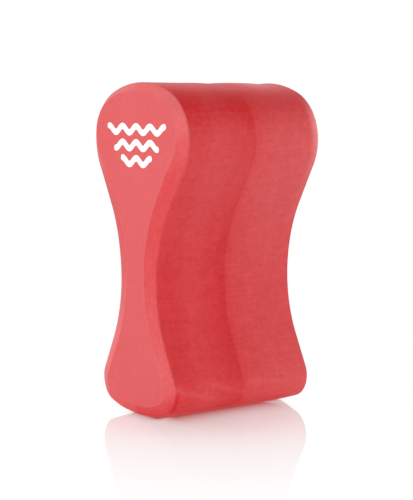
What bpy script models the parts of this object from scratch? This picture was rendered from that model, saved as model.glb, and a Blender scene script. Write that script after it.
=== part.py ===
"""Pull buoy: an hourglass float cut from two foam slabs that are bonded face to face.

Frame: metres, +Z up. X runs across the width, from the printed end face (-X) to the
plain end face (+X). Y runs through the thickness, between the two hollows for the
thighs. The origin is the centre of the base land, on the surface the float stands on.
The hourglass outline lies in the Y-Z plane and is the same all along X.
"""

import math

import bmesh
import bpy
from mathutils import Vector

MM = 0.001

# Overall size
HEIGHT = 235.0 * MM
WIDTH = 125.2 * MM
SEAM_X = 1.2 * MM  # the bond plane; the slab on the printed side is a little thicker

# Hourglass outline: a polygon whose corners are rounded. (y, z) of each corner of the
# +Y half, with its rounding radius. The top corner and the base corners carry the
# crown, the lobes and the waist.
CROWN = (0.0 * MM, 241.57 * MM, 86.75 * MM)
SHOULDER = (72.32 * MM, 212.89 * MM, 36.76 * MM)
WAIST = (7.363 * MM, 101.16 * MM, 102.53 * MM)
HIP = (50.91 * MM, 11.89 * MM, 17.48 * MM)
LAND = (15.0 * MM, 0.0 * MM, 10.0 * MM)
FACET_SAG = 0.035 * MM  # how far a flat facet may lie inside its arc

# Bevel round each end face. It leaves the end face at a fine crease that stands in from
# the outline, furthest at the waist and least on the large lobe, falls away almost
# straight, and meets the broad faces at a second crease.
BEVEL_IN = 8.6 * MM  # at the base
BEVEL_WAIST, WAIST_RISE = 2.8 * MM, (20 * MM, 135 * MM)  # added between these heights
BEVEL_TOP, TOP_FALL = 5.7 * MM, (160 * MM, 222 * MM)  # taken off between these heights
REACH_LOW, REACH_HIGH, REACH_RISE = 2.8 * MM, 5.0 * MM, (105 * MM, 195 * MM)
BULGE_LOW, BULGE_HIGH = 0.20, 0.04  # 0 is straight, 1 is a full round
BEVEL_STEPS = 5

# Shallow valley where the two slabs meet: (distance from the seam, depth)
SEAM_STEPS = (
    (11.0 * MM, 0.00 * MM),
    (8.0 * MM, 0.18 * MM),
    (5.5 * MM, 0.33 * MM),
    (3.5 * MM, 0.46 * MM),
    (1.6 * MM, 0.63 * MM),
    (0.5 * MM, 0.75 * MM),
    (0.0 * MM, 0.85 * MM),
)

# Bond
FILM_THICK = 0.30 * MM
FILM_GAP = 0.15 * MM
FILM_INSET = 3.0 * MM

# Printed mark on the -X end face: three stacked waves, each a whole number of periods
WAVE_PITCH = 16.5 * MM
WAVE_PERIODS = (4, 3, 2)
WAVE_CENTRES = ((-2.0 * MM, 202.5 * MM), (-2.0 * MM, 191.5 * MM), (-2.0 * MM, 180.5 * MM))
WAVE_HEIGHT = 2.2 * MM  # centre line, from its middle to a crest
WAVE_WIDTH = 4.4 * MM  # full width of a stroke
PERIOD_STEPS = 20
TIP_STEPS = 10
PRINT_THICK = 0.20 * MM
PRINT_GAP = 0.20 * MM

# Colours (linear RGB), roughness
FOAM_NEAR = (0.62, 0.050, 0.060)
FOAM_FAR = (0.68, 0.070, 0.080)
FILM = (0.75, 0.62, 0.45)
INK = (0.92, 0.92, 0.92)


def clear_scene():
    for obj in list(bpy.data.objects):
        bpy.data.objects.remove(obj, do_unlink=True)


def collection(name):
    made = bpy.data.collections.new(name)
    bpy.context.scene.collection.children.link(made)
    return made


def material(name, colour, roughness, metallic=0.0):
    made = bpy.data.materials.new(name)
    made.use_nodes = True
    shader = made.node_tree.nodes["Principled BSDF"]
    shader.inputs["Base Color"].default_value = (*colour, 1.0)
    shader.inputs["Roughness"].default_value = roughness
    shader.inputs["Metallic"].default_value = metallic
    made.diffuse_color = (*colour, 1.0)
    return made


def rounded(before, corner, after, radius, sag):
    """Points and outward normals along the arc that rounds one corner of a polygon
    walked clockwise, as seen with y to the right and z up."""
    a, p, b = Vector(before), Vector(corner), Vector(after)
    to_a, to_b = (a - p).normalized(), (b - p).normalized()
    angle = to_a.angle(to_b)
    reach = radius / math.tan(angle / 2)
    centre = p + (to_a + to_b).normalized() * (radius / math.sin(angle / 2))
    start, end = p + to_a * reach - centre, p + to_b * reach - centre
    first = math.atan2(start.y, start.x)
    sweep = math.atan2(end.y, end.x) - first
    sweep = (sweep + math.pi) % (2 * math.pi) - math.pi
    outward = 1.0 if sweep < 0 else -1.0
    steps = max(2, math.ceil(abs(sweep) / (2 * math.acos(1 - sag / radius))))
    found = []
    for i in range(steps + 1):
        turn = first + sweep * i / steps
        ray = Vector((math.cos(turn), math.sin(turn)))
        found.append((centre + ray * radius, ray * outward))
    return found


def outline():
    """The whole hourglass, clockwise from the crown: a list of (point, outward normal)."""
    corners = [CROWN, SHOULDER, WAIST, HIP, LAND]
    left = [(-y, z, r) for y, z, r in reversed(corners[1:])]
    loop = corners + left
    found = []
    for i, (y, z, radius) in enumerate(loop):
        before, after = loop[i - 1], loop[(i + 1) % len(loop)]
        found += rounded(before[:2], (y, z), after[:2], radius, FACET_SAG)
    return found


def ramp(z, span):
    """0 below the span of heights, 1 above it, and a smooth rise between."""
    t = min(1.0, max(0.0, (z - span[0]) / (span[1] - span[0])))
    return t * t * (3 - 2 * t)


def bevel_inset(z):
    """How far in from the outline the bevel leaves the end face at height z."""
    return BEVEL_IN + BEVEL_WAIST * ramp(z, WAIST_RISE) - BEVEL_TOP * ramp(z, TOP_FALL)


def end_sections():
    """The bevel's sections, each a function of height that gives how far it lies from
    the end face along X and how far in from the outline."""

    def section(t):
        def at(z):
            rise = ramp(z, REACH_RISE)
            inset = bevel_inset(z)
            reach = REACH_LOW + (REACH_HIGH - REACH_LOW) * rise
            lean = t * (1 - t) * (1 - BULGE_LOW - (BULGE_HIGH - BULGE_LOW) * rise)
            return lean * reach + t * t * reach, (1 - t) ** 2 * inset + lean * inset

        return at

    return [section(i / BEVEL_STEPS) for i in range(BEVEL_STEPS + 1)]


def ring(bm, profile, end_x, side, at):
    """One section of a slab: at(z) gives its distance from end_x and its inset."""
    verts = []
    for p, n in profile:
        along, inset = at(p.y)
        verts.append(bm.verts.new((end_x + side * along, p.x - n.x * inset, p.y - n.y * inset)))
    return verts


def foam_slab(name, end_x, seam_x, mat, into):
    """A slab lofted from the end face, over its bevel, to the seam. The bevel's width
    changes with height, so its sections are unlike and no extrusion makes it."""
    profile = outline()
    side = 1.0 if seam_x > end_x else -1.0
    bm = bmesh.new()
    rings = [ring(bm, profile, end_x, side, at) for at in end_sections()]
    rings += [
        ring(bm, profile, seam_x, side, lambda z, u=away, d=depth: (-u, d))
        for away, depth in SEAM_STEPS
    ]
    for low, high in zip(rings, rings[1:]):
        for i in range(len(low)):
            j = (i + 1) % len(low)
            bm.faces.new((low[i], low[j], high[j], high[i]))
    bm.faces.new(rings[0])
    bm.faces.new(rings[-1])
    bmesh.ops.recalc_face_normals(bm, faces=bm.faces)
    mesh = bpy.data.meshes.new(name)
    bm.to_mesh(mesh)
    bm.free()
    mesh.materials.append(mat)
    mesh.shade_smooth()
    mesh.set_sharp_from_angle(angle=math.radians(24))
    made = bpy.data.objects.new(name, mesh)
    into.objects.link(made)
    return made


def plate(name, points, thick, x_middle, mat, into):
    """A flat piece with the outline (y, z), centred on the plane x = x_middle."""
    curve = bpy.data.curves.new(name, "CURVE")
    curve.dimensions = "2D"
    curve.fill_mode = "BOTH"
    curve.extrude = thick / 2
    spline = curve.splines.new("POLY")
    spline.points.add(len(points) - 1)
    for at, (y, z) in zip(spline.points, points):
        at.co = (y, z, 0.0, 1.0)
    spline.use_cyclic_u = True
    curve.materials.append(mat)
    made = bpy.data.objects.new(name, curve)
    made.location = (x_middle, 0.0, 0.0)
    made.rotation_euler = (math.pi / 2, 0.0, math.pi / 2)
    into.objects.link(made)
    return made


def wave(periods, middle_y, middle_z):
    """The outline of one wave stroke: a cosine centre line of even width that starts and
    ends level, with half-round tips."""
    length, radius = periods * WAVE_PITCH, WAVE_WIDTH / 2
    upper, lower = [], []
    for i in range(periods * PERIOD_STEPS + 1):
        along = i / PERIOD_STEPS * WAVE_PITCH - length / 2
        phase = 2 * math.pi * along / WAVE_PITCH
        at = Vector((along, WAVE_HEIGHT * math.cos(phase)))
        slope = -WAVE_HEIGHT * 2 * math.pi / WAVE_PITCH * math.sin(phase)
        across = Vector((-slope, 1.0)).normalized()
        upper.append(at + across * radius)
        lower.append(at - across * radius)
    level = WAVE_HEIGHT * math.cos(math.pi * periods)
    right, left = [], []
    for i in range(1, TIP_STEPS):
        turn = math.pi / 2 - math.pi * i / TIP_STEPS
        ray = Vector((math.cos(turn), math.sin(turn))) * radius
        right.append(Vector((length / 2, level)) + ray)
        left.append(Vector((-length / 2, level)) - ray)
    loop = upper + right + lower[::-1] + left
    return [(middle_y + p.x, middle_z + p.y) for p in loop]


def build():
    clear_scene()
    parts = collection("pull_buoy")
    near = material("foam_print_side", FOAM_NEAR, 0.82)
    far = material("foam_far_side", FOAM_FAR, 0.82)
    film = material("adhesive_film", FILM, 0.6)
    ink = material("print_white", INK, 0.5)

    half_bond = FILM_THICK / 2 + FILM_GAP
    foam_slab("foam_slab_print_side", -WIDTH / 2, SEAM_X - half_bond, near, parts)
    foam_slab("foam_slab_far_side", WIDTH / 2, SEAM_X + half_bond, far, parts)

    inner = [p - n * FILM_INSET for p, n in outline()]
    plate("glue_film", [(p.x, p.y) for p in inner], FILM_THICK, SEAM_X, film, parts)

    ink_x = -WIDTH / 2 - PRINT_GAP - PRINT_THICK / 2
    for name, periods, (y, z) in zip(
        ("wave_print_upper", "wave_print_middle", "wave_print_lower"),
        WAVE_PERIODS,
        WAVE_CENTRES,
    ):
        plate(name, wave(periods, y, z), PRINT_THICK, ink_x, ink, parts)


build()
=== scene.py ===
"""Looks of the foam pull buoy: the carved foam surfaces, the printed mark, the studio."""

import math

import bpy
import numpy as np
from mathutils import Matrix, Vector, noise


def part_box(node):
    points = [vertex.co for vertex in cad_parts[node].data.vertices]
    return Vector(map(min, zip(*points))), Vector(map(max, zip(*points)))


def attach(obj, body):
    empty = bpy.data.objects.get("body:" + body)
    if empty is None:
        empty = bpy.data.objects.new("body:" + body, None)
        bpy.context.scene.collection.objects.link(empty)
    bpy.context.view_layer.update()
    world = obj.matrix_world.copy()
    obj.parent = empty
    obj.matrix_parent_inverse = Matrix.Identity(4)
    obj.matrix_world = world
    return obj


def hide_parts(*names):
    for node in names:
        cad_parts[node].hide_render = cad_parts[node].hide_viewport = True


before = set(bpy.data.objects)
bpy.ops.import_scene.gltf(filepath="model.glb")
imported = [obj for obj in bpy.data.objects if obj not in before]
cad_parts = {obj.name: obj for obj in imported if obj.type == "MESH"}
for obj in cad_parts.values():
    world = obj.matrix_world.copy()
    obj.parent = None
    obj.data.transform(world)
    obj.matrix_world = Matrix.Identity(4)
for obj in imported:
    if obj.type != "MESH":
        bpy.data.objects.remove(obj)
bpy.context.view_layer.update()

MM = 0.001

# The outline and the bevel, as the CAD has them
CORNERS = (
    (0.0, 241.57, 86.75),
    (72.32, 212.89, 36.76),
    (7.363, 101.16, 102.53),
    (50.91, 11.89, 17.48),
    (15.0, 0.0, 10.0),
)
BEVEL_IN = 8.6
BEVEL_WAIST, WAIST_RISE = 2.8, (20.0, 135.0)
BEVEL_TOP, TOP_FALL = 5.7, (160.0, 222.0)
REACH_LOW, REACH_HIGH, REACH_RISE = 2.8, 5.0, (105.0, 195.0)
BULGE_LOW, BULGE_HIGH = 0.20, 0.04

near_low, near_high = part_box("foam_slab_print_side")
far_low, far_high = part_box("foam_slab_far_side")
film_low, film_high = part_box("glue_film")
END_NEAR = near_low.x / MM
END_FAR = far_high.x / MM
SEAM = (film_low.x + film_high.x) / 2 / MM


# ---------------------------------------------------------------- outline


def half_outline(step):
    """Points and outward normals from the crown's middle down the +Y side to the end of
    the base land, about step mm apart, in mm."""
    loop = list(CORNERS) + [(-y, z, r) for y, z, r in reversed(CORNERS[1:])]
    runs = []
    for i, (y, z, radius) in enumerate(CORNERS):
        a, p, b = (
            np.array(loop[i - 1][:2]),
            np.array([y, z]),
            np.array(loop[(i + 1) % len(loop)][:2]),
        )
        d1 = (a - p) / np.linalg.norm(a - p)
        d2 = (b - p) / np.linalg.norm(b - p)
        angle = math.acos(float(np.clip(d1 @ d2, -1, 1)))
        reach = radius / math.tan(angle / 2)
        centre = p + (d1 + d2) / np.linalg.norm(d1 + d2) * radius / math.sin(angle / 2)
        s, e = p + d1 * reach - centre, p + d2 * reach - centre
        first = math.atan2(s[1], s[0])
        sweep = (math.atan2(e[1], e[0]) - first + math.pi) % (2 * math.pi) - math.pi
        if i == 0:  # only the +Y half of the crown
            first, sweep = math.pi / 2, sweep / 2
        steps = max(3, math.ceil(abs(sweep) * radius / min(step, radius * 0.06)))
        sign = 1.0 if sweep < 0 else -1.0
        arc = []
        for k in range(steps + 1):
            t = first + sweep * k / steps
            ray = np.array([math.cos(t), math.sin(t)])
            arc.append((centre + ray * radius, ray * sign))
        runs.append(arc)
    points, normals = [], []
    for i, arc in enumerate(runs):
        if i:
            start, n = points[-1], normals[-1]
            gap = float(np.linalg.norm(arc[0][0] - start))
            count = int(gap // step)
            for k in range(1, count + 1):
                points.append(start + (arc[0][0] - start) * k / (count + 1))
                normals.append(n)
            if gap < 1e-6:
                arc = arc[1:]
        for point, n in arc:
            points.append(point)
            normals.append(n)
    return np.array(points), np.array(normals)


HALF_P, HALF_N = half_outline(1.35)
H = len(HALF_P)  # ring: the half from the crown to the land, then back up the -Y side
RING_P = np.vstack([HALF_P, HALF_P[:0:-1] * (-1, 1)])
RING_N = np.vstack([HALF_N, HALF_N[:0:-1] * (-1, 1)])
N = len(RING_P)
SEG = np.linalg.norm(RING_P - np.roll(RING_P, 1, 0), axis=1)


def half_width(z):
    order = np.argsort(HALF_P[:, 1])
    return float(np.interp(z, HALF_P[order, 1], HALF_P[order, 0]))


def ramp(z, span):
    t = np.clip((z - span[0]) / (span[1] - span[0]), 0, 1)
    return t * t * (3 - 2 * t)


# ---------------------------------------------------------------- foam slabs


def bevel_rows():
    """Rows from the flat of the end face, over the fine raised line and the bevel, to
    6 mm past the rim: for each ring point the distance from the end face along X and the
    inset from the outline, and for each row how much it holds of the fine line and of
    the end face's skin."""
    z = RING_P[:, 1]
    leave = BEVEL_IN + BEVEL_WAIST * ramp(z, WAIST_RISE) - BEVEL_TOP * ramp(z, TOP_FALL)
    rise = ramp(z, REACH_RISE)
    reach = REACH_LOW + (REACH_HIGH - REACH_LOW) * rise
    bulge = BULGE_LOW + (BULGE_HIGH - BULGE_LOW) * rise
    flat = np.ones(N)
    along, insets, marks, skin = [], [], [], []
    for more in (1.25, 1.05, 0.92):
        along.append(flat * 0.0)
        insets.append(leave + more)
        marks.append(0.0)
        skin.append(1.0)
    for more in np.arange(0.80, -0.75, -0.12):
        bead = math.exp(-((more / 0.34) ** 2))
        t = np.maximum(0.0, -more) / leave
        along.append(-0.10 * bead * (1 - 0.9 * ramp(z, (145.0, 190.0))) + t * reach * 0.9)
        insets.append(leave + more)
        marks.append(bead)
        skin.append(1.0 if more > 0 else max(0.0, 1 + more / 0.6))
    start = len(marks)
    for share in list(np.linspace(0.16, 0.86, 12)) + [0.89, 0.92, 0.95, 0.975, 1.0]:
        lean = share * (1 - share) * (1 - bulge)
        along.append(lean * reach + share * share * reach)
        insets.append((1 - share) ** 2 * leave + lean * leave)
        marks.append(0.0)
        skin.append(0.0)
    rim = len(marks)
    for past in np.arange(0.28, 6.0, 0.32):
        along.append(reach + past)
        insets.append(flat * 0.0)
        marks.append(0.0)
        skin.append(0.0)
    along, insets = np.array(along), np.array(insets)
    for turn in range(16):  # takes the sharpness off the rim, more so on the large lobe
        share = 1.0 if turn < 2 else rise * 0.9
        for values in (along, insets):
            run = values[start:]
            mean = run[:-2] * 0.25 + run[1:-1] * 0.5 + run[2:] * 0.25
            run[1:-1] += (mean - run[1:-1]) * share
    return along, insets, marks, skin, rim


def seam_depth(u):
    """Depth of the shallow valley u mm from the seam."""
    return 0.60 * math.exp(-((u / 7.5) ** 1.7)) + 0.07 * math.exp(-u / 1.2)


def wobble(p, scale, seed):
    return noise.noise(Vector((p[0] / scale + seed, p[1] / scale - seed, p[2] / scale)))


def near_to(distance, width):
    return math.exp(-((distance / width) ** 2))


def painted_light_at(x, y, z):
    """How much paler (or darker, below 0) the skin is painted at one place: painted highlights and painted shade.
    """
    total = 0.0
    if z > 215:  # a painted highlight on the front of the crown
        total += 0.100 * near_to(x - 32.0, 10.0) * near_to(y + 17.0, 9.0)
    if y < 0 and z < 45:  # three faint painted highlight streaks that sweep down the front of the foot
        for (x0, z0), (x1, z1), sag, pale in (
            ((-58.0, 26.0), (-24.0, 15.5), 1.2, 0.022),
            ((-30.0, 27.0), (2.0, 18.0), 0.8, 0.018),
            ((4.0, 24.0), (44.0, 20.0), -1.0, 0.012),
        ):
            t = (x - x0) / (x1 - x0)
            if -0.1 < t < 1.1:
                line = z0 + (z1 - z0) * t - sag * 4 * t * (1 - t)
                total += pale * near_to(z - line, 1.8) * min(1.0, 8 * max(0.0, min(t + 0.1, 1.1 - t)))
        # painted light low on the front of the foot, toward the printed end
        total += 0.018 * ramp(14.0 - z, (0.0, 8.0)) * ramp(-x, (10.0, 45.0)) * ramp(x, (-59.0, -54.0))
    if x < -50 and y < 0 and z < 27:  # painted shade in the fold where the bevel meets the foot
        total -= 0.036 * near_to(x + 58.2, 2.4) * ramp(26.0 - z, (0.0, 8.0))
    return total


def painted_rim_highlight_at(x, y, z):
    """A painted highlight that wraps round the far end's rim on the large lobe."""
    heights = (130.0, 150.0, 165.0, 180.0, 192.0, 200.0, 207.0, 214.0, 220.0, 226.0)
    shares = (0.0, 0.12, 0.20, 0.50, 0.72, 0.90, 1.0, 0.80, 0.45, 0.0)
    return ramp(x, (49.5, 57.0)) * float(np.interp(z, heights, shares))


def foam_slab(name, end_x, seam_x, material):
    """A foam slab with its bevel, valley and slight unevenness of hand-finished foam."""
    side = 1.0 if seam_x > end_x else -1.0
    along, insets, marks, skin, rim = bevel_rows()
    rings = [(end_x + side * a, i) for a, i in zip(along, insets)]
    reach = abs(seam_x - end_x)
    last = 17.0
    first_body = float(along[-1].max())
    lean_of = along[-1] - first_body
    body = np.linspace(first_body + 0.6, reach - last - 0.8, 24)
    for at in body:
        # the body's rows lean with the rim near it, and are straight at the seam
        share = (reach - last - at) / (reach - last)
        rings.append((end_x + side * (at + lean_of * share**2), np.zeros(N)))
        marks.append(0.0)
    u = last
    while u > 0.02:
        rings.append((np.full(N, seam_x - side * u), np.full(N, seam_depth(u))))
        marks.append(0.0)
        u = u * 0.80 if u < 6 else u - 1.1
    # the edge turns in to the bond face, and stands off the adhesive film inside it
    for inset, stand in (
        (0.88, 0.012),
        (0.95, 0.010),
        (1.2, 0.010),
        (2.2, 0.010),
        (2.7, 0.16),
        (3.4, 0.17),
    ):
        rings.append((np.full(N, seam_x - side * stand), np.full(N, inset)))
        marks.append(0.0)
    count = len(rings)
    verts = np.zeros((count, N, 3))
    for k, (x, inset) in enumerate(rings):
        verts[k, :, 0] = x
        verts[k, :, 1] = RING_P[:, 0] - RING_N[:, 0] * inset
        verts[k, :, 2] = RING_P[:, 1] - RING_N[:, 1] * inset
    # the soft foot rounds up toward its ends, and most at the printed one
    softness = 1.0 if side > 0 else 0.12
    low = ramp(26.0 - RING_P[:, 1], (0.0, 8.0))
    for k in range(count):
        u = float(np.abs(verts[k, :, 0] - end_x).mean())
        share = 1 - ramp(u, (2.0, 16.0))
        if share == 0:
            continue
        row = verts[k, :, 1:]
        for _ in range(26):
            row += ((np.roll(row, 1, 0) + np.roll(row, -1, 0)) / 2 - row) * (low * share * softness * 0.9)[:, None]
        row[:, 1] += 1.6 * share * softness * np.clip(1 - row[:, 1] / 9.0, 0, 1)
        corner = (1 - ramp(u, (1.0, 10.0))) * ramp(np.abs(row[:, 0]), (3.0, 13.0))
        row[:, 1] += 0.9 * softness * corner * np.clip(1 - row[:, 1] / 9.0, 0, 1)
    # hot-wire cutting leaves the broad faces very slightly uneven, never the base land
    calm = np.clip((RING_P[:, 1] - 3.0) / 14.0, 0, 1)
    for k in range(count):
        for i in range(N):
            hold = max(0.0, 1 - rings[k][1][i] / 3.0) * calm[i]
            if hold == 0:
                continue
            p = verts[k, i]
            out = 0.16 * wobble(p, 42.0, 3.1) + 0.05 * wobble(p, 11.0, 8.7)
            out += 0.028 * wobble((p[0] * 0.06, p[1], p[2]), 2.6, 1.3)
            if p[2] > 215:  # a shallow dent in the crown
                out -= 1.0 * near_to(p[0] - 46.0, 8.0) * near_to(p[1] - 4.0, 14.0)
            p[1] += RING_N[i, 0] * out * hold
            p[2] += RING_N[i, 1] * out * hold
    points = [tuple(v) for row in verts for v in row]
    faces = []
    for k in range(count - 1):
        a, b = k * N, (k + 1) * N
        for i in range(N):
            j = (i + 1) % N
            quad = (a + i, a + j, b + j, b + i)
            faces.append(quad if side > 0 else quad[::-1])
    skin += [0.0] * (count - len(skin))
    on_bevel = [max(0.0, 1 - s) if k < rim else max(0.0, 1 - (k - rim) * 0.22) for k, s in enumerate(skin)]
    mask = [m for m in marks for _ in range(N)]
    skins = [m for m in skin for _ in range(N)]
    back_half = 0.9 - 0.65 * ramp(RING_P[:, 1], (60.0, 170.0))
    paler = 1 + back_half * ramp(RING_P[:, 0], (-8.0, 22.0))  # the bevel's back half, by the light
    # the bevel mask, weighted by the painted light on the bevel's back half
    bevels = [m * more for m in on_bevel for more in paler]

    def cap(start, flip, columns, dish):
        """Fills a ring with rows that run from one side to the other."""
        rows = [[start]]
        for i in range(1, H):
            right, left = start + i, start + N - i
            pr, pl = np.array(points[right]), np.array(points[left])
            row = [right]
            for c in range(1, columns):
                t = c / columns
                p = pr + (pl - pr) * t
                edge = min(t, 1 - t) * abs(pr[1] - pl[1])
                p[0] += dish * min(1.0, edge / 12.0) * wobble(p, 33.0, 5.5)
                points.append(tuple(p))
                mask.append(0.0)
                skins.append(1.0)
                bevels.append(0.0)
                row.append(len(points) - 1)
            row.append(left)
            rows.append(row)
        for above, below in zip(rows, rows[1:]):
            if len(above) == 1:
                for c in range(columns):
                    face = (above[0], below[c + 1], below[c])
                    faces.append(face if flip else face[::-1])
            else:
                for c in range(columns):
                    face = (above[c], above[c + 1], below[c + 1], below[c])
                    faces.append(face if flip else face[::-1])

    cap(0, side > 0, 26, 0.10)
    cap((count - 1) * N, side < 0, 26, 0.0)
    mesh = bpy.data.meshes.new(name)
    mesh.from_pydata([tuple(c * MM for c in p) for p in points], [], faces)
    mesh.validate()
    mesh.update()
    line = mesh.attributes.new("edge_line", "FLOAT", "POINT")
    line.data.foreach_set("value", np.array(mask, np.float32))
    end = mesh.attributes.new("end_skin", "FLOAT", "POINT")
    end.data.foreach_set("value", np.array(skins, np.float32))
    bevel = mesh.attributes.new("bevel_light_mask", "FLOAT", "POINT")
    bevel.data.foreach_set("value", np.array(bevels, np.float32))
    # stores the painted highlights and shade, and the painted rim highlight, on the points
    for kind, found in (("painted_light_marks", painted_light_at), ("painted_rim_highlight", painted_rim_highlight_at)):
        paint = mesh.attributes.new(kind, "FLOAT", "POINT")
        paint.data.foreach_set("value", np.array([found(*p) for p in points], np.float32))
    mesh.materials.append(material)
    mesh.shade_smooth()
    made = bpy.data.objects.new(name, mesh)
    bpy.context.scene.collection.objects.link(made)
    return made


# ---------------------------------------------------------------- materials


def new_material(name):
    made = bpy.data.materials.new(name)
    made.use_nodes = True
    tree = made.node_tree
    tree.nodes.clear()
    out = tree.nodes.new("ShaderNodeOutputMaterial")
    shader = tree.nodes.new("ShaderNodeBsdfPrincipled")
    tree.links.new(shader.outputs["BSDF"], out.inputs["Surface"])
    return made, tree, shader


def node(tree, kind, **settings):
    made = tree.nodes.new(kind)
    for key, value in settings.items():
        if key.startswith("in_"):
            made.inputs[key[3:].replace("_", " ")].default_value = value
        else:
            setattr(made, key, value)
    return made


def math_node(tree, operation, a, b=None, c=None, clamp=False):
    made = tree.nodes.new("ShaderNodeMath")
    made.operation = operation
    made.use_clamp = clamp
    for index, value in enumerate((a, b, c)):
        if value is None:
            continue
        if isinstance(value, (int, float)):
            made.inputs[index].default_value = value
        else:
            tree.links.new(value, made.inputs[index])
    return made.outputs[0]


def textured(tree, kind, vector, scale, detail=2.0, rough=0.5, **more):
    made = tree.nodes.new(kind)
    tree.links.new(vector, made.inputs["Vector"])
    made.inputs["Scale"].default_value = scale
    if "Detail" in made.inputs:
        made.inputs["Detail"].default_value = detail
    if "Roughness" in made.inputs and kind == "ShaderNodeTexNoise":
        made.inputs["Roughness"].default_value = rough
    for key, value in more.items():
        setattr(made, key, value)
    return made


def foam_material(name, deep, painted_light_of_x):
    """Closed-cell EVA foam: a deep red under painted sheen and painted shade, mottled cells, faint
    cut lines along the width, and a matte grain. painted_light_of_x lists (x in mm, painted sheen or shade)."""
    made, tree, shader = new_material(name)
    link = tree.links.new
    where = tree.nodes.new("ShaderNodeTexCoord").outputs["Object"]
    parts = tree.nodes.new("ShaderNodeSeparateXYZ")
    link(where, parts.inputs[0])

    # painted sheen and painted shade: by place across the width and up the height on
    # the broad faces, by height on the bevels, and even on the end faces
    def by_place(axis, points):
        (low, _), (high, _) = points[0], points[-1]
        least, most = min(b for _, b in points), max(b for _, b in points)
        place = node(tree, "ShaderNodeMapRange", clamp=True)
        link(parts.outputs[axis], place.inputs["Value"])
        place.inputs["From Min"].default_value = low * MM
        place.inputs["From Max"].default_value = high * MM
        curve = tree.nodes.new("ShaderNodeFloatCurve")
        link(place.outputs["Result"], curve.inputs["Value"])
        line = curve.mapping.curves[0]
        while len(line.points) < len(points):
            line.points.new(0.5, 0.5)
        for point, (at, tone_and_painted_light) in zip(line.points, points):
            point.location = ((at - low) / (high - low), (tone_and_painted_light - least) / (most - least))
            point.handle_type = "AUTO"
        curve.mapping.update()
        return math_node(tree, "MULTIPLY_ADD", curve.outputs["Value"], most - least, least)

    def painted(name):
        made = tree.nodes.new("ShaderNodeAttribute")
        made.attribute_name = name
        return made.outputs["Fac"]

    endness, bevelness = painted("end_skin"), painted("bevel_light_mask")
    sides = math_node(tree, "ADD", by_place("X", painted_light_of_x), by_place("Z", PAINTED_LIGHT_BY_HEIGHT))
    rest = math_node(tree, "SUBTRACT", math_node(tree, "SUBTRACT", 1.0, endness), bevelness, clamp=True)
    tone_and_painted_light = math_node(tree, "MULTIPLY", sides, rest)
    # painted light on the bevels, by height
    tone_and_painted_light = math_node(tree, "MULTIPLY_ADD", by_place("Z", BEVEL_PAINTED_LIGHT), bevelness, tone_and_painted_light)
    # painted sheen on the end faces
    tone_and_painted_light = math_node(tree, "MULTIPLY_ADD", endness, FOAM["end"], tone_and_painted_light)
    calm = math_node(tree, "MULTIPLY_ADD", endness, -FOAM["end_calm"], 1.0)
    # painted highlights and painted shade, and the painted highlight round the far rim
    for name, share in (("painted_light_marks", FOAM["painted_light_share"]), ("painted_rim_highlight", FOAM["rim"])):
        tone_and_painted_light = math_node(tree, "MULTIPLY_ADD", painted(name), share, tone_and_painted_light)

    # mottling in even steps from the single cell to the width of a hand
    grain = textured(tree, "ShaderNodeTexNoise", where, 210.0, 3.0, 0.85)
    fine = textured(tree, "ShaderNodeTexNoise", where, 900.0, 2.0, 0.6)
    cells = textured(tree, "ShaderNodeTexVoronoi", where, 1150.0)
    blotch = textured(tree, "ShaderNodeTexNoise", where, 70.0, 2.0, 0.6)
    broad = textured(tree, "ShaderNodeTexNoise", where, 22.0, 2.0, 0.5)
    # cut lines that follow the wire along X, and the skin's nap across them
    stretch = tree.nodes.new("ShaderNodeMapping")
    link(where, stretch.inputs["Vector"])
    stretch.inputs["Scale"].default_value = (0.07, 1.0, 1.0)
    lines = textured(tree, "ShaderNodeTexNoise", stretch.outputs[0], 520.0, 2.0, 0.6)
    nap = tree.nodes.new("ShaderNodeMapping")
    link(where, nap.inputs["Vector"])
    nap.inputs["Scale"].default_value = (1.0, 0.12, 0.12)
    naps = textured(tree, "ShaderNodeTexNoise", nap.outputs[0], 420.0, 2.0, 0.6)

    def variation(start, amounts):
        total = start
        for source, amount in zip((grain, fine, blotch, broad, lines, naps), amounts):
            part = math_node(tree, "SUBTRACT", source.outputs["Fac"], 0.5)
            if total is None:
                total = math_node(tree, "MULTIPLY", part, amount)
            else:
                total = math_node(tree, "MULTIPLY_ADD", part, amount, total)
        return total

    mottle = variation(None, FOAM["bloom_amounts"])
    depth = math_node(
        tree, "MULTIPLY_ADD", variation(None, FOAM["depth_amounts"]), calm, 1.0
    )
    edge = tree.nodes.new("ShaderNodeAttribute")
    edge.attribute_name = "edge_line"
    tone_and_painted_light = math_node(tree, "MULTIPLY_ADD", mottle, calm, tone_and_painted_light)
    # a painted highlight along the fine raised line, patchy, and fainter toward the foot
    patchy = math_node(tree, "MULTIPLY_ADD", blotch.outputs["Fac"], 1.2, 0.1)
    lit = math_node(tree, "MULTIPLY", edge.outputs["Fac"], patchy)
    faint = node(tree, "ShaderNodeMapRange", clamp=True)
    link(parts.outputs["Z"], faint.inputs["Value"])
    faint.inputs["From Min"].default_value = 0.006
    faint.inputs["From Max"].default_value = 0.034
    faint.inputs["To Min"].default_value = 0.25
    lit = math_node(tree, "MULTIPLY", lit, faint.outputs["Result"])
    tone_and_painted_light = math_node(tree, "MULTIPLY_ADD", lit, FOAM["edge"], tone_and_painted_light)

    base = tree.nodes.new("ShaderNodeVectorMath")
    base.operation = "SCALE"
    base.inputs[0].default_value = (1.0, 1.0, 1.0)
    link(tone_and_painted_light, base.inputs["Scale"])
    warm = tree.nodes.new("ShaderNodeCombineXYZ")
    warm.inputs["Y"].default_value, warm.inputs["Z"].default_value = deep[1], deep[2]
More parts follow.
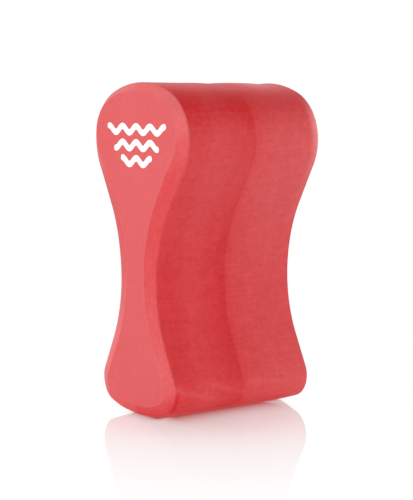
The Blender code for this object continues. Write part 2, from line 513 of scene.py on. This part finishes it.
    # painted red light by height: red bounce from the floor low down, and the crown edge's highlight; less of it
    # on the bevels
    sway = math_node(tree, "MULTIPLY_ADD", bevelness, 0.35, rest)
    painted_red_light = math_node(tree, "MULTIPLY", by_place("Z", PAINTED_RED_LIGHT_BY_HEIGHT), sway)
    link(math_node(tree, "ADD", painted_red_light, deep[0]), warm.inputs["X"])
    tint = tree.nodes.new("ShaderNodeVectorMath")
    tint.operation = "ADD"
    link(base.outputs[0], tint.inputs[0])
    link(warm.outputs[0], tint.inputs[1])
    deepened = tree.nodes.new("ShaderNodeVectorMath")
    deepened.operation = "SCALE"
    link(tint.outputs[0], deepened.inputs[0])
    link(depth, deepened.inputs["Scale"])
    low_cut = tree.nodes.new("ShaderNodeVectorMath")
    low_cut.operation = "MAXIMUM"
    link(deepened.outputs[0], low_cut.inputs[0])
    low_cut.inputs[1].default_value = (0.30, 0.004, 0.006)
    link(low_cut.outputs[0], shader.inputs["Base Color"])

    rough = math_node(tree, "MULTIPLY_ADD", blotch.outputs["Fac"], 0.10, FOAM["rough"] - 0.05)
    rough = math_node(tree, "MULTIPLY_ADD", fine.outputs["Fac"], 0.08, rough)
    link(rough, shader.inputs["Roughness"])
    shader.inputs["Specular IOR Level"].default_value = FOAM["specular"]
    shader.inputs["Sheen Weight"].default_value = FOAM["sheen"]
    shader.inputs["Sheen Roughness"].default_value = FOAM["sheen_rough"]
    shader.inputs["Sheen Tint"].default_value = (1.0, 0.93, 0.94, 1.0)

    height = math_node(tree, "MULTIPLY", fine.outputs["Fac"], 0.9)
    height = math_node(tree, "MULTIPLY_ADD", cells.outputs["Distance"], 0.55, height)
    height = math_node(tree, "MULTIPLY_ADD", lines.outputs["Fac"], 0.5, height)
    height = math_node(tree, "MULTIPLY_ADD", naps.outputs["Fac"], 0.3, height)
    bump = tree.nodes.new("ShaderNodeBump")
    bump.inputs["Strength"].default_value = FOAM["bump"]
    bump.inputs["Distance"].default_value = 0.00016
    link(height, bump.inputs["Height"])
    link(bump.outputs[0], shader.inputs["Normal"])
    return made


FOAM = {
    # grain, fine, blotch, broad, cut lines, nap
    "bloom_amounts": (0.034, 0.016, 0.014, 0.016, 0.014, 0.010),
    "depth_amounts": (0.20, 0.12, 0.05, 0.04, 0.10, 0.06),
    # painted highlight along the fine line
    "edge": 0.035,
    # painted sheen on the end faces
    "end": 0.060,
    "end_calm": 0.45,
    # painted highlights and painted shade
    "painted_light_share": 1.0,
    # painted highlight round the far rim
    "rim": 0.16,
    "rough": 0.52,
    "specular": 0.32,
    "sheen": 0.13,
    "sheen_rough": 0.30,
    "bump": 0.5,
}
# painted light and shade on the broad faces by height: shade at the foot and on the upper slope of the crown,
# highlights low on the foot and along the crown's edge
PAINTED_LIGHT_BY_HEIGHT = (
    (0.0, -0.044),
    (8.0, -0.023),
    (13.0, 0.009),
    (18.0, 0.008),
    (23.0, 0.005),
    (33.0, -0.001),
    (60.0, -0.003),
    (100.0, -0.007),
    (140.0, 0.002),
    (192.0, 0.009),
    (201.0, 0.006),
    (208.0, -0.006),
    (214.0, -0.014),
    (221.0, -0.029),
    (226.0, -0.029),
    (230.0, -0.010),
    (235.0, 0.022),
)
# painted red light by height: floor bounce at the foot, highlight at the crown's edge
PAINTED_RED_LIGHT_BY_HEIGHT = (
    (0.0, 0.085),
    (8.0, 0.080),
    (14.0, 0.046),
    (30.0, 0.033),
    (60.0, 0.025),
    (110.0, 0.008),
    (150.0, 0.004),
    (190.0, -0.004),
    (222.0, 0.000),
    (227.0, 0.040),
    (231.0, 0.120),
    (235.0, 0.150),
)
# painted light on the bevels by height, palest on the large lobe
BEVEL_PAINTED_LIGHT = (
    (0.0, 0.026),
    (12.0, 0.030),
    (30.0, 0.062),
    (60.0, 0.053),
    (85.0, 0.040),
    (110.0, 0.029),
    (160.0, 0.026),
    (180.0, 0.040),
    (197.0, 0.064),
    (210.0, 0.092),
    (235.0, 0.104),
)


def ink_material(name):
    """White screen-printed ink: satin, with the foam's grain telegraphing through."""
    made, tree, shader = new_material(name)
    link = tree.links.new
    where = tree.nodes.new("ShaderNodeTexCoord").outputs["Object"]
    fine = textured(tree, "ShaderNodeTexNoise", where, 900.0, 3.0, 0.6)
    soft = textured(tree, "ShaderNodeTexNoise", where, 140.0, 2.0, 0.5)
    ramp = tree.nodes.new("ShaderNodeValToRGB")
    ramp.color_ramp.elements[0].position = 0.25
    ramp.color_ramp.elements[0].color = (0.90, 0.86, 0.86, 1.0)
    ramp.color_ramp.elements[1].position = 0.55
    ramp.color_ramp.elements[1].color = (0.97, 0.965, 0.965, 1.0)
    mixed = math_node(tree, "MULTIPLY_ADD", fine.outputs["Fac"], 0.45, 0.0)
    mixed = math_node(tree, "MULTIPLY_ADD", soft.outputs["Fac"], 0.55, mixed)
    link(mixed, ramp.inputs["Fac"])
    link(ramp.outputs["Color"], shader.inputs["Base Color"])
    rough = math_node(tree, "MULTIPLY_ADD", soft.outputs["Fac"], 0.18, 0.38)
    link(rough, shader.inputs["Roughness"])
    bump = tree.nodes.new("ShaderNodeBump")
    bump.inputs["Strength"].default_value = 0.35
    bump.inputs["Distance"].default_value = 0.0001
    link(fine.outputs["Fac"], bump.inputs["Height"])
    link(bump.outputs[0], shader.inputs["Normal"])
    return made


def film_material(name):
    """Dried contact adhesive: amber, stringy and a little glossy."""
    made, tree, shader = new_material(name)
    link = tree.links.new
    where = tree.nodes.new("ShaderNodeTexCoord").outputs["Object"]
    stretch = tree.nodes.new("ShaderNodeMapping")
    link(where, stretch.inputs["Vector"])
    stretch.inputs["Scale"].default_value = (1.0, 1.0, 0.25)
    streaks = textured(tree, "ShaderNodeTexNoise", stretch.outputs[0], 180.0, 5.0, 0.6)
    ramp = tree.nodes.new("ShaderNodeValToRGB")
    ramp.color_ramp.elements[0].color = (0.42, 0.25, 0.12, 1.0)
    ramp.color_ramp.elements[1].color = (0.78, 0.62, 0.42, 1.0)
    link(streaks.outputs["Fac"], ramp.inputs["Fac"])
    link(ramp.outputs["Color"], shader.inputs["Base Color"])
    rough = math_node(tree, "MULTIPLY_ADD", streaks.outputs["Fac"], 0.3, 0.25)
    link(rough, shader.inputs["Roughness"])
    bump = tree.nodes.new("ShaderNodeBump")
    bump.inputs["Strength"].default_value = 0.6
    bump.inputs["Distance"].default_value = 0.0002
    link(streaks.outputs["Fac"], bump.inputs["Height"])
    link(bump.outputs[0], shader.inputs["Normal"])
    return made


# ---------------------------------------------------------------- print


def print_stroke(cad_node, name, material):
    """One wave of ink: an even stroke with half-round tips, softly domed, its rim sunk
    in the foam. Its length and place come from the CAD node."""
    low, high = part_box(cad_node)
    middle_y = (high.y + low.y) / 2 / MM
    middle_z = (high.z + low.z) / 2 / MM
    pitch, crest, width = 16.5, 2.2, 4.4
    periods = round(((high.y - low.y) / MM - width) / pitch)
    length, radius = periods * pitch, width / 2
    stations = []  # (along, centre, slope, half width)
    tip = crest * math.cos(math.pi * periods)
    tips = [math.pi / 2 * (1 - k / 12) for k in range(12)]
    for turn in tips:
        stations.append((-length / 2 - radius * math.sin(turn), tip, 0.0, radius * math.cos(turn)))
    for i in range(periods * 40 + 1):
        at = i / 40 * pitch - length / 2
        phase = 2 * math.pi * at / pitch
        slope = -crest * 2 * math.pi / pitch * math.sin(phase)
        stations.append((at, crest * math.cos(phase), slope, radius))
    for turn in tips[::-1]:
        stations.append((length / 2 + radius * math.sin(turn), tip, 0.0, radius * math.cos(turn)))
    ring = 24
    along_steps = len(stations) - 1
    points, faces = [], []
    for at, centre, slope, half in stations:
        half = max(half, 0.04)
        across = np.array([-slope, 1.0]) / math.hypot(slope, 1.0)
        for k in range(ring):
            t = 2 * math.pi * k / ring
            c, s = math.cos(t), math.sin(t)
            # a flat, round-edged section: ink above the foam, a root under it
            w = half * math.copysign(abs(c) ** 0.30, c)
            h = math.copysign(abs(s) ** 0.45, s) * (0.15 if s > 0 else 0.10)
            h *= min(1.0, (half / 0.7) ** 0.5)
            ragged = 0.045 * noise.noise(Vector((at * 1.1, k * 0.6, middle_z)))
            w += ragged * math.copysign(1.0, w) * min(1.0, half)
            points.append(
                (END_NEAR - h, middle_y + at + across[0] * w, middle_z + centre + across[1] * w)
            )
    for i in range(along_steps):
        a, b = i * ring, (i + 1) * ring
        for k in range(ring):
            j = (k + 1) % ring
            faces.append((a + k, b + k, b + j, a + j))
    faces.append(tuple(range(ring)))
    faces.append(tuple(range(along_steps * ring, (along_steps + 1) * ring))[::-1])
    mesh = bpy.data.meshes.new(name)
    mesh.from_pydata([tuple(c * MM for c in p) for p in points], [], faces)
    mesh.validate()
    mesh.update()
    import bmesh

    bm = bmesh.new()
    bm.from_mesh(mesh)
    bmesh.ops.recalc_face_normals(bm, faces=bm.faces)
    bm.to_mesh(mesh)
    bm.free()
    mesh.materials.append(material)
    mesh.shade_smooth()
    made = bpy.data.objects.new(name, mesh)
    bpy.context.scene.collection.objects.link(made)
    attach(made, "root")
    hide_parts(cad_node)
    return made


# ---------------------------------------------------------------- build the pieces

DEEP_NEAR = (0.600, 0.022, 0.027)
DEEP_FAR = (0.600, 0.022, 0.027)
# painted sheen and painted shade across the width: shade near the rim and toward the seam, sheen rising toward the
# far end
PAINTED_SHEEN_AND_SHADE_NEAR = (
    (-62.6, 0.016),
    (-56.0, 0.012),
    (-50.0, 0.011),
    (-42.0, 0.014),
    (-30.0, 0.023),
    (-20.0, 0.017),
    (-10.0, 0.011),
    (-3.0, 0.004),
    (2.0, 0.002),
)
PAINTED_SHEEN_AND_SHADE_FAR = (
    (2.0, 0.020),
    (5.0, 0.026),
    (9.0, 0.031),
    (15.0, 0.034),
    (25.0, 0.041),
    (40.0, 0.043),
    (62.6, 0.050),
)

foam_near = foam_material("foam_print_side", DEEP_NEAR, PAINTED_SHEEN_AND_SHADE_NEAR)
foam_far = foam_material("foam_far_side", DEEP_FAR, PAINTED_SHEEN_AND_SHADE_FAR)
ink = ink_material("print_white")
film = film_material("adhesive_film")

near = foam_slab("foam_print_side_slab", END_NEAR, SEAM, foam_near)
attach(near, "root")
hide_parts("foam_slab_print_side")

far = foam_slab("foam_far_side_slab", END_FAR, SEAM, foam_far)
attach(far, "root")
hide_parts("foam_slab_far_side")

for cad_node, name in (
    ("wave_print_upper", "ink_wave_upper"),
    ("wave_print_middle", "ink_wave_middle"),
    ("wave_print_lower", "ink_wave_lower"),
):
    print_stroke(cad_node, name, ink)

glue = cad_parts["glue_film"]
glue.data.materials.clear()
glue.data.materials.append(film)


# ---------------------------------------------------------------- studio

STUDIO = {
    "sky": 0.62,  # even light from all round
    "front": 0,  # more of it from behind the camera
    "back": 0,  # a lit backdrop
    "back_low": 0.42,  # and its brightest part, near the floor
    "top": 0,
    "floor": 0.95,
    "left": 5,
    "key": 16.5,
    "front_box": 3,
    "right": 0,
    "gloss": 0.435,
}

scene = bpy.context.scene
scene.view_settings.view_transform = "Standard"
scene.view_settings.look = "None"
scene.view_settings.exposure = 0.0
scene.view_settings.gamma = 1.0


def white_world():
    """Camera rays meet plain white. The light itself is an even sky and the low part of a lit
    backdrop, brightest near the floor; the lobes from the front, from above and the upper backdrop are set to
    nothing."""
    world = bpy.data.worlds.new("studio")
    scene.world = world
    world.use_nodes = True
    tree = world.node_tree
    tree.nodes.clear()
    link = tree.links.new
    out = tree.nodes.new("ShaderNodeOutputWorld")
    where = tree.nodes.new("ShaderNodeTexCoord").outputs["Generated"]
    parts = tree.nodes.new("ShaderNodeSeparateXYZ")
    link(where, parts.inputs[0])
    away = tree.nodes.new("ShaderNodeVectorMath")
    away.operation = "DOT_PRODUCT"
    link(where, away.inputs[0])
    away.inputs[1].default_value = (0.61, 0.79, 0.0)
    total = None

    def lobe(source, start, end, strength):
        step = tree.nodes.new("ShaderNodeMapRange")
        step.interpolation_type = "SMOOTHSTEP"
        link(source, step.inputs["Value"])
        step.inputs["From Min"].default_value = start
        step.inputs["From Max"].default_value = end
        step.inputs["To Min"].default_value = 0.0
        step.inputs["To Max"].default_value = strength
        return step.outputs["Result"]

    height = parts.outputs["Z"]
    back = lobe(away.outputs["Value"], 0.15, 0.85, 1.0)
    back_up = math_node(tree, "MULTIPLY", back, lobe(height, 0.75, 0.10, STUDIO["back"]))
    back_low = math_node(tree, "MULTIPLY", back, lobe(height, 0.46, 0.29, STUDIO["back_low"]))
    front = lobe(away.outputs["Value"], -0.20, -0.90, STUDIO["front"])
    top = lobe(height, 0.50, 1.0, STUDIO["top"])
    total = math_node(tree, "ADD", back_up, STUDIO["sky"])
    for part in (back_low, front, top):
        total = math_node(tree, "ADD", total, part)
    light = tree.nodes.new("ShaderNodeBackground")
    light.inputs["Color"].default_value = (1, 1, 1, 1)
    link(total, light.inputs["Strength"])
    seen = tree.nodes.new("ShaderNodeBackground")
    seen.inputs["Color"].default_value = (1, 1, 1, 1)
    seen.inputs["Strength"].default_value = 1.05
    path = tree.nodes.new("ShaderNodeLightPath")
    mix = tree.nodes.new("ShaderNodeMixShader")
    link(path.outputs["Is Camera Ray"], mix.inputs["Fac"])
    link(light.outputs[0], mix.inputs[1])
    link(seen.outputs[0], mix.inputs[2])
    link(mix.outputs[0], out.inputs["Surface"])


def softbox(name, at, size, power, aim=(0.0, 0.0, 0.12), tint=(1.0, 1.0, 1.0)):
    data = bpy.data.lights.new(name, "AREA")
    data.shape = "RECTANGLE"
    data.size, data.size_y = size
    data.energy = power
    data.color = tint
    made = bpy.data.objects.new(name, data)
    made.location = at
    made.rotation_euler = (
        (Vector(aim) - Vector(at)).to_track_quat("-Z", "Y").to_euler()
    )
    scene.collection.objects.link(made)
    made.visible_camera = False
    return made


def glossy_floor():
    """A white sheet, lit from below so that it stays white. Its polish is kept round the
    float and dulls outwards, and it darkens and reddens close to the base, where the
    foam shades it. It gives the float less light than it shows."""
    size = 6.0
    mesh = bpy.data.meshes.new("studio_floor")
    mesh.from_pydata(
        [(-size, -size, 0), (size, -size, 0), (size, size, 0), (-size, size, 0)],
        [],
        [(0, 1, 2, 3)],
    )
    floor = bpy.data.objects.new("studio_floor", mesh)
    scene.collection.objects.link(floor)
    floor.location.z = -0.0002
    made = bpy.data.materials.new("studio_floor")
    made.use_nodes = True
    tree = made.node_tree
    tree.nodes.clear()
    link = tree.links.new
    out = tree.nodes.new("ShaderNodeOutputMaterial")
    where = tree.nodes.new("ShaderNodeTexCoord").outputs["Object"]
    parts = tree.nodes.new("ShaderNodeSeparateXYZ")
    link(where, parts.inputs[0])

    def steps(value, reach, stops):
        """A colour ramp over value, from 0 to reach, in metres."""
        ramp = tree.nodes.new("ShaderNodeValToRGB")
        ramp.color_ramp.interpolation = "B_SPLINE"
        link(math_node(tree, "MULTIPLY", value, 1 / reach), ramp.inputs["Fac"])
        marks = ramp.color_ramp.elements
        while len(marks) < len(stops):
            marks.new(0.5)
        for mark, (at, colour) in zip(marks, stops):
            mark.position = at / reach
            mark.color = (*colour, 1.0)
        return ramp.outputs["Color"]

    def beyond(axis, half, scale):
        """How far past the base a point lies along one axis, scaled."""
        past = math_node(tree, "ABSOLUTE", parts.outputs[axis])
        past = math_node(tree, "SUBTRACT", past, half)
        past = math_node(tree, "MAXIMUM", past, 0.0)
        return math_node(tree, "MULTIPLY", past, scale)

    def past_base(*spans):
        total = 0.0
        for span in spans:
            past = beyond(*span)
            total = math_node(tree, "MULTIPLY_ADD", past, past, total)
        return math_node(tree, "SQRT", total)

    # the lobe overhangs the floor at the front and back, and hardly at the two ends
    under = past_base(("X", 0.040, 2.0), ("Y", 0.014, 1.0))
    touch = past_base(("X", 0.052, 3.0), ("Y", 0.012, 3.0))
    away = math_node(tree, "MINIMUM", under, touch)
    shaded = steps(
        away,
        0.060,
        (
            (0.000, (0.50, 0.06, 0.06)),
            (0.006, (0.58, 0.34, 0.34)),
            (0.013, (0.71, 0.60, 0.60)),
            (0.022, (0.89, 0.85, 0.85)),
            (0.034, (0.98, 0.98, 0.98)),
            (0.048, (1.00, 1.00, 1.00)),
        ),
    )
    path = tree.nodes.new("ShaderNodeLightPath")
    glow = tree.nodes.new("ShaderNodeEmission")
    power = math_node(
        tree, "MULTIPLY_ADD", path.outputs["Is Camera Ray"], 1.05 - STUDIO["floor"], STUDIO["floor"]
    )
    link(power, glow.inputs["Strength"])
    bounce = steps(  # what the foam gets back: its own red, close by
        away,
        0.100,
        (
            (0.000, (1.00, 0.04, 0.05)),
            (0.015, (1.00, 0.22, 0.23)),
            (0.030, (1.00, 0.52, 0.53)),
            (0.055, (1.00, 0.84, 0.84)),
            (0.090, (1.00, 1.00, 1.00)),
        ),
    )
    colour = tree.nodes.new("ShaderNodeMix")
    colour.data_type = "RGBA"
    link(path.outputs["Is Camera Ray"], colour.inputs[0])
    link(bounce, colour.inputs[6])
    link(shaded, colour.inputs[7])
    link(colour.outputs[2], glow.inputs["Color"])
    matte = tree.nodes.new("ShaderNodeBsdfDiffuse")
    matte.inputs["Color"].default_value = (0.90, 0.90, 0.90, 1)
    gloss = tree.nodes.new("ShaderNodeBsdfGlossy")
    gloss.inputs["Color"].default_value = (1, 1, 1, 1)
    gloss.inputs["Roughness"].default_value = 0.03
    length = tree.nodes.new("ShaderNodeVectorMath")
    length.operation = "LENGTH"
    link(where, length.inputs[0])
    polish = steps(
        length.outputs["Value"],
        0.36,
        [
            (at, (share * STUDIO["gloss"],) * 3)
            for at, share in (
                (0.050, 1.00),
                (0.075, 0.84),
                (0.100, 0.60),
                (0.127, 0.40),
                (0.166, 0.25),
                (0.202, 0.13),
                (0.240, 0.06),
                (0.340, 0.00),
            )
        ],
    )
    shade = tree.nodes.new("ShaderNodeMixShader")
    shade.inputs["Fac"].default_value = 0.12
    link(glow.outputs[0], shade.inputs[1])
    link(matte.outputs[0], shade.inputs[2])
    mix = tree.nodes.new("ShaderNodeMixShader")
    link(polish, mix.inputs["Fac"])
    link(shade.outputs[0], mix.inputs[1])
    link(gloss.outputs[0], mix.inputs[2])
    link(mix.outputs[0], out.inputs["Surface"])
    mesh.materials.append(made)


white_world()
glossy_floor()
softbox("softbox_left", (-1.15, 0.75, 0.45), (0.9, 0.9), STUDIO["left"])
softbox("softbox_key", (-1.55, -1.45, 0.50), (1.2, 1.2), STUDIO["key"])
softbox("softbox_front", (-0.15, -2.00, 0.60), (1.3, 1.0), STUDIO["front_box"])
softbox("softbox_right", (1.05, 0.10, 0.40), (0.5, 0.9), STUDIO["right"])

# camera: 1.05 m away, 37 degrees round to the printed side, a little above the middle
azimuth = math.radians(-37.4744)
pan = azimuth + math.radians(-0.0205)
pitch = math.radians(6.1763)
roll = math.radians(0.1563)
distance = 1.05073
eye = Vector((math.sin(azimuth) * distance, -math.cos(azimuth) * distance, 0.228344))
ahead = Vector(
    (
        -math.sin(pan) * math.cos(pitch),
        math.cos(pan) * math.cos(pitch),
        -math.sin(pitch),
    )
)
right = Vector((math.cos(pan), math.sin(pan), 0.0))
above = right.cross(ahead)
turned = right * math.cos(roll) + above * math.sin(roll)
raised = above * math.cos(roll) - right * math.sin(roll)
lens = bpy.data.cameras.new("camera")
lens.sensor_fit = "VERTICAL"
lens.sensor_height = 36.0
lens.sensor_width = 36.0 * 413 / 500
lens.lens = 1459.694 * 36.0 / 500
lens.clip_start = 0.01
lens.clip_end = 50.0
camera = bpy.data.objects.new("camera", lens)
scene.collection.objects.link(camera)
matrix = Matrix((turned, raised, -ahead)).transposed().to_4x4()
matrix.translation = eye
camera.matrix_world = matrix
scene.camera = camera

bpy.context.view_layer.update()
